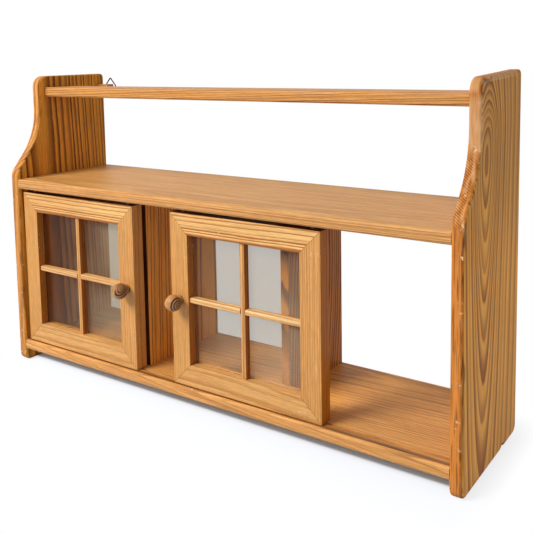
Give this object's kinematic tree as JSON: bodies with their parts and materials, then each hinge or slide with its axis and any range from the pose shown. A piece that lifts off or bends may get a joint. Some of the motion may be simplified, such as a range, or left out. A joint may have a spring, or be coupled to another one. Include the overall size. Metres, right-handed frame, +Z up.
{
  "type": "wall shelf with sliding doors",
  "caption": "Pine wall shelf with shaped sides, an open upper shelf under a rail, and divided bays below with sliding glazed doors and ball knobs.",
  "frame": {"origin": "on the floor under the middle of the whole object, knobs included", "axes": "+X to the right along the shelf as seen from the front, +Y to the rear, towards the wall, +Z up"},
  "size_m": [0.82, 0.2326, 0.5074],
  "materials": {
    "pine_case": "waxed pine, satin",
    "pine_door": "waxed pine, satin",
    "pine_bead": "waxed pine, satin",
    "pine_knob": "turned pine, satin",
    "beech": "plain beech",
    "glass": "clear window glass",
    "ring_wire": "dark browned wire",
    "strap_steel": "dull brassed steel strap",
    "screw_steel": "dull steel"
  },
  "bodies": {
    "root": {"left_side": "pine_case", "right_side": "pine_case", "bottom_shelf": "pine_case", "upper_shelf": "pine_case", "left_divider": "pine_case", "right_divider": "pine_case", "top_rail": "pine_case", "hanging_block_left": "pine_case", "hanging_block_right": "pine_case", "hanger_strap_left": "strap_steel", "hanger_strap_right": "strap_steel", "hanger_screws": "screw_steel", "bottom_shelf_dowels": "beech", "upper_shelf_dowels": "beech", "top_rail_dowels": "beech", "left_divider_dowels": "beech", "right_divider_dowels": "beech"},
    "left_door": {"left_door_top_rail": "pine_door", "left_door_right_stile": "pine_door", "left_door_bottom_rail": "pine_door", "left_door_left_stile": "pine_door", "left_door_vertical_muntin": "pine_door", "left_door_level_muntin": "pine_door", "left_door_glass": "glass", "left_door_bead_top": "pine_bead", "left_door_bead_right": "pine_bead", "left_door_bead_bottom": "pine_bead", "left_door_bead_left": "pine_bead", "left_door_knob": "pine_knob", "left_door_knob_screw": "screw_steel", "left_door_top_pins": "beech", "left_door_bottom_pins": "beech"},
    "right_door": {"right_door_top_rail": "pine_door", "right_door_right_stile": "pine_door", "right_door_bottom_rail": "pine_door", "right_door_left_stile": "pine_door", "right_door_vertical_muntin": "pine_door", "right_door_level_muntin": "pine_door", "right_door_glass": "glass", "right_door_bead_top": "pine_bead", "right_door_bead_right": "pine_bead", "right_door_bead_bottom": "pine_bead", "right_door_bead_left": "pine_bead", "right_door_knob": "pine_knob", "right_door_knob_screw": "screw_steel", "right_door_top_pins": "beech", "right_door_bottom_pins": "beech"},
    "left_ring": {"hanger_ring_left": "ring_wire"},
    "right_ring": {"hanger_ring_right": "ring_wire"}
  },
  "joints": [
    {"name": "left_door_slide", "type": "slide", "parent": "root", "child": "left_door", "axis": [1, 0, 0], "range_m": [-0.0045, 0.077]},
    {"name": "right_door_slide", "type": "slide", "parent": "root", "child": "right_door", "axis": [1, 0, 0], "range_m": [0, 0.1795]},
    {"name": "left_ring_hinge", "type": "hinge", "parent": "root", "child": "left_ring", "pos_m": [-0.3725, 0.11425, 0.4782], "axis": [1, 0, 0], "range_deg": [-170, 0]},
    {"name": "right_ring_hinge", "type": "hinge", "parent": "root", "child": "right_ring", "pos_m": [0.3725, 0.11425, 0.4782], "axis": [1, 0, 0], "range_deg": [-170, 0]}
  ]
}
